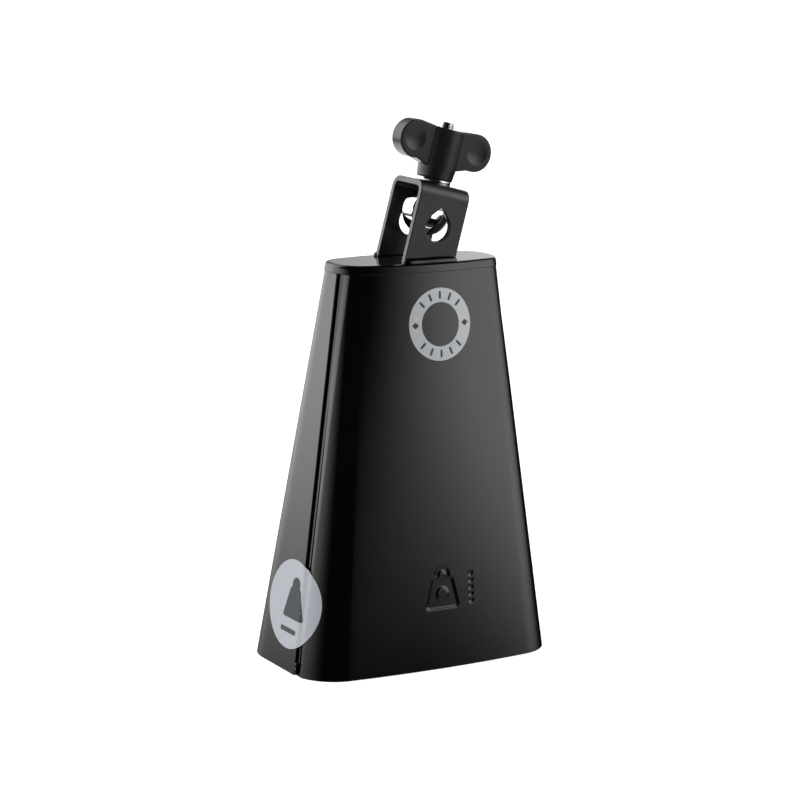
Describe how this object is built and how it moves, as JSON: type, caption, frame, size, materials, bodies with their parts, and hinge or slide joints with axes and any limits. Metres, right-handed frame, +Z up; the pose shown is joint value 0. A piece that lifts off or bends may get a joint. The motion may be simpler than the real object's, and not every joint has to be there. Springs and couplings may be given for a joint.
{
  "type": "cowbell",
  "caption": "Stick-played sheet-steel cowbell, open at the mouth, with a tilted clamp bracket, eye bolt and wing nut for a mounting rod.",
  "frame": {"origin": "middle of the mouth's plane, below the middle of the crown", "axes": "+Z up the bell from the mouth to the crown, +X along the mouth's width towards the side the bracket leans to, -Y out of the struck front panel"},
  "size_m": [0.1454, 0.0812, 0.2732],
  "materials": {
    "lacquered_shell": "gloss black lacquer over steel sheet",
    "lacquered_weld": "gloss black lacquer over weld metal",
    "coated_bracket": "satin black powder coat over steel strap",
    "bright_chrome": "bright chrome plate",
    "silver_print": "silver foil transfer",
    "silver_sticker": "satin silver vinyl",
    "black_nylon": "fine-grained moulded nylon",
    "zinc_sleeve": "zinc-plated steel"
  },
  "bodies": {
    "bell": {"front_shell": "lacquered_shell", "back_shell": "lacquered_shell", "top_cap": "lacquered_shell", "seam_tacks": "lacquered_weld", "clamp_bracket": "coated_bracket", "bracket_welds": "lacquered_weld", "washer": "bright_chrome", "front_ring": "silver_print", "side_sticker": "silver_sticker"},
    "eye_bolt": {"eye_bolt": "bright_chrome"},
    "wing_nut": {"wing_nut": "black_nylon", "threaded_sleeve": "zinc_sleeve"}
  },
  "joints": [
    {"name": "wing_nut_turn", "type": "hinge", "parent": "bell", "child": "wing_nut", "pos_m": [0.01182, 0, 0.24238], "axis": [0.2419, 0, 0.9703], "range_deg": [0, 2520]},
    {"name": "eye_bolt_lift", "type": "slide", "parent": "bell", "child": "eye_bolt", "axis": [0.2419, 0, 0.9703], "range_m": [-0.00876, 0]}
  ],
  "couplings": [
    {"joint": "eye_bolt_lift", "follows": "wing_nut_turn", "m_per_rad": -0.00019894}
  ]
}
